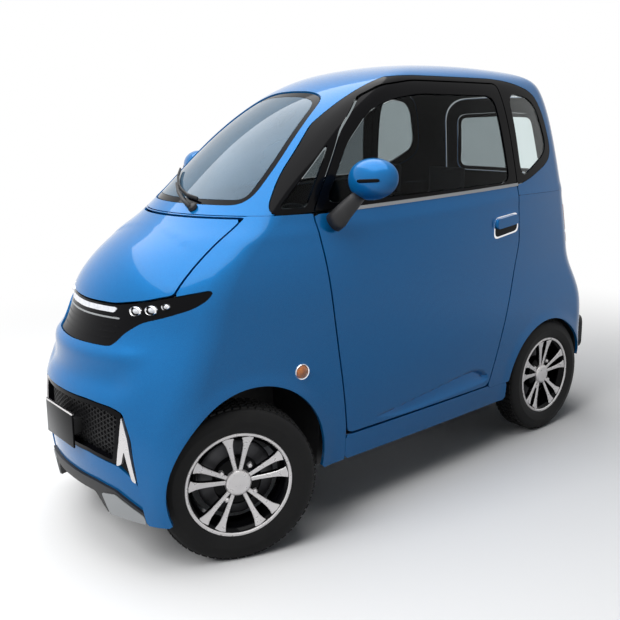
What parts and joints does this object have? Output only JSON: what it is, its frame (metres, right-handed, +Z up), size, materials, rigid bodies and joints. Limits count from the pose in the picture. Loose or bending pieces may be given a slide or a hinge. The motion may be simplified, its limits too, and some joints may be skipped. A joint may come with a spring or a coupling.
{
  "type": "electric quadricycle",
  "caption": "Narrow enclosed electric microcar with side doors, hood, tailgate, steered front wheels, glazed cabin and alloy wheels; carries people on the road.",
  "frame": {"origin": "Middle of the overall box on the ground.", "axes": "+X forward, +Y to the car's left, +Z up."},
  "size_m": [2.4426, 1.266, 1.6],
  "materials": {
    "body_paint": "metallic gloss",
    "black_gloss": "gloss",
    "black_trim": "satin",
    "silver_trim": "satin",
    "light_white": "gloss",
    "lamp_red": "gloss",
    "lamp_amber": "gloss",
    "clear_glass": "clear tinted",
    "seat_cover": "matte",
    "tyre_rubber": "matte",
    "rim_alloy": "machined",
    "steel": "satin",
    "unit_case": "satin"
  },
  "bodies": {
    "chassis": {"front_body": "body_paint", "rear_body": "body_paint", "roof_frame": "body_paint", "sill_left": "body_paint", "sill_right": "body_paint", "windscreen": "clear_glass", "quarter_window_left": "clear_glass", "quarter_window_right": "clear_glass", "front_light_left": "clear_glass", "front_light_right": "clear_glass", "lamp_bar": "black_gloss", "light_strip": "light_white", "lower_grille": "black_gloss", "plate_holder": "black_gloss", "bumper_blade_left": "silver_trim", "bumper_blade_right": "silver_trim", "bumper_lip": "silver_trim", "side_repeater_left": "lamp_amber", "side_repeater_right": "lamp_amber", "tail_lamp_left": "lamp_red", "tail_lamp_right": "lamp_red", "rear_bumper": "black_trim", "floor_pan": "black_trim", "battery_pack": "unit_case", "dashboard": "black_trim", "steering_column": "black_trim", "seat_left": "seat_cover", "seat_right": "seat_cover", "front_subframe": "steel", "rear_axle": "steel", "motor": "unit_case"},
    "hood": {"hood": "body_paint"},
    "tailgate": {"tailgate": "body_paint", "rear_window": "clear_glass"},
    "steering_wheel": {"steering_wheel": "black_trim"},
    "door_left": {"door_panel_left": "body_paint", "door_frame_left": "black_gloss", "door_glass_left": "clear_glass", "door_handle_left": "silver_trim", "mirror_left": "body_paint"},
    "knuckle_left": {"knuckle_left": "steel"},
    "wheel_front_left": {"tyre_front_left": "tyre_rubber", "rim_front_left": "rim_alloy"},
    "wheel_rear_left": {"tyre_rear_left": "tyre_rubber", "rim_rear_left": "rim_alloy"},
    "door_right": {"door_panel_right": "body_paint", "door_frame_right": "black_gloss", "door_glass_right": "clear_glass", "door_handle_right": "silver_trim", "mirror_right": "body_paint"},
    "knuckle_right": {"knuckle_right": "steel"},
    "wheel_front_right": {"tyre_front_right": "tyre_rubber", "rim_front_right": "rim_alloy"},
    "wheel_rear_right": {"tyre_rear_right": "tyre_rubber", "rim_rear_right": "rim_alloy"}
  },
  "joints": [
    {"name": "hood_hinge", "type": "hinge", "parent": "chassis", "child": "hood", "pos_m": [0.715, 0, 1.075], "axis": [0, -1, 0], "range_deg": [0, 45]},
    {"name": "tailgate_hinge", "type": "hinge", "parent": "chassis", "child": "tailgate", "pos_m": [-0.954, 0, 1.502], "axis": [0, 1, 0], "range_deg": [0, 70]},
    {"name": "door_left_hinge", "type": "hinge", "parent": "chassis", "child": "door_left", "pos_m": [0.497, 0.478, 0.65], "axis": [0, 0, -1], "range_deg": [0, 65]},
    {"name": "steer_left", "type": "hinge", "parent": "chassis", "child": "knuckle_left", "pos_m": [0.794, 0.35, 0.25], "axis": [0, 0, 1], "range_deg": [-10, 54]},
    {"name": "wheel_front_left_spin", "type": "hinge", "parent": "knuckle_left", "child": "wheel_front_left", "pos_m": [0.81086, 0.39172, 0.25], "axis": [0.3746, 0.9272, 0], "continuous": true},
    {"name": "wheel_rear_left_spin", "type": "hinge", "parent": "chassis", "child": "wheel_rear_left", "pos_m": [-0.786, 0.395, 0.25], "axis": [0, 1, 0], "continuous": true},
    {"name": "door_right_hinge", "type": "hinge", "parent": "chassis", "child": "door_right", "pos_m": [0.497, -0.478, 0.65], "axis": [0, 0, 1], "range_deg": [0, 65]},
    {"name": "steer_right", "type": "hinge", "parent": "chassis", "child": "knuckle_right", "pos_m": [0.794, -0.35, 0.25], "axis": [0, 0, 1], "range_deg": [-10, 54]},
    {"name": "wheel_front_right_spin", "type": "hinge", "parent": "knuckle_right", "child": "wheel_front_right", "pos_m": [0.77714, -0.39172, 0.25], "axis": [0.3746, 0.9272, 0], "continuous": true},
    {"name": "wheel_rear_right_spin", "type": "hinge", "parent": "chassis", "child": "wheel_rear_right", "pos_m": [-0.786, -0.395, 0.25], "axis": [0, 1, 0], "continuous": true},
    {"name": "steering_wheel_turn", "type": "hinge", "parent": "chassis", "child": "steering_wheel", "pos_m": [0.33, 0.185, 0.93], "axis": [-0.8829, 0, 0.4695], "range_deg": [-100, 540]}
  ],
  "couplings": [
    {"joint": "steer_right", "follows": "steer_left", "ratio": 1},
    {"joint": "steering_wheel_turn", "follows": "steer_left", "ratio": 10}
  ]
}
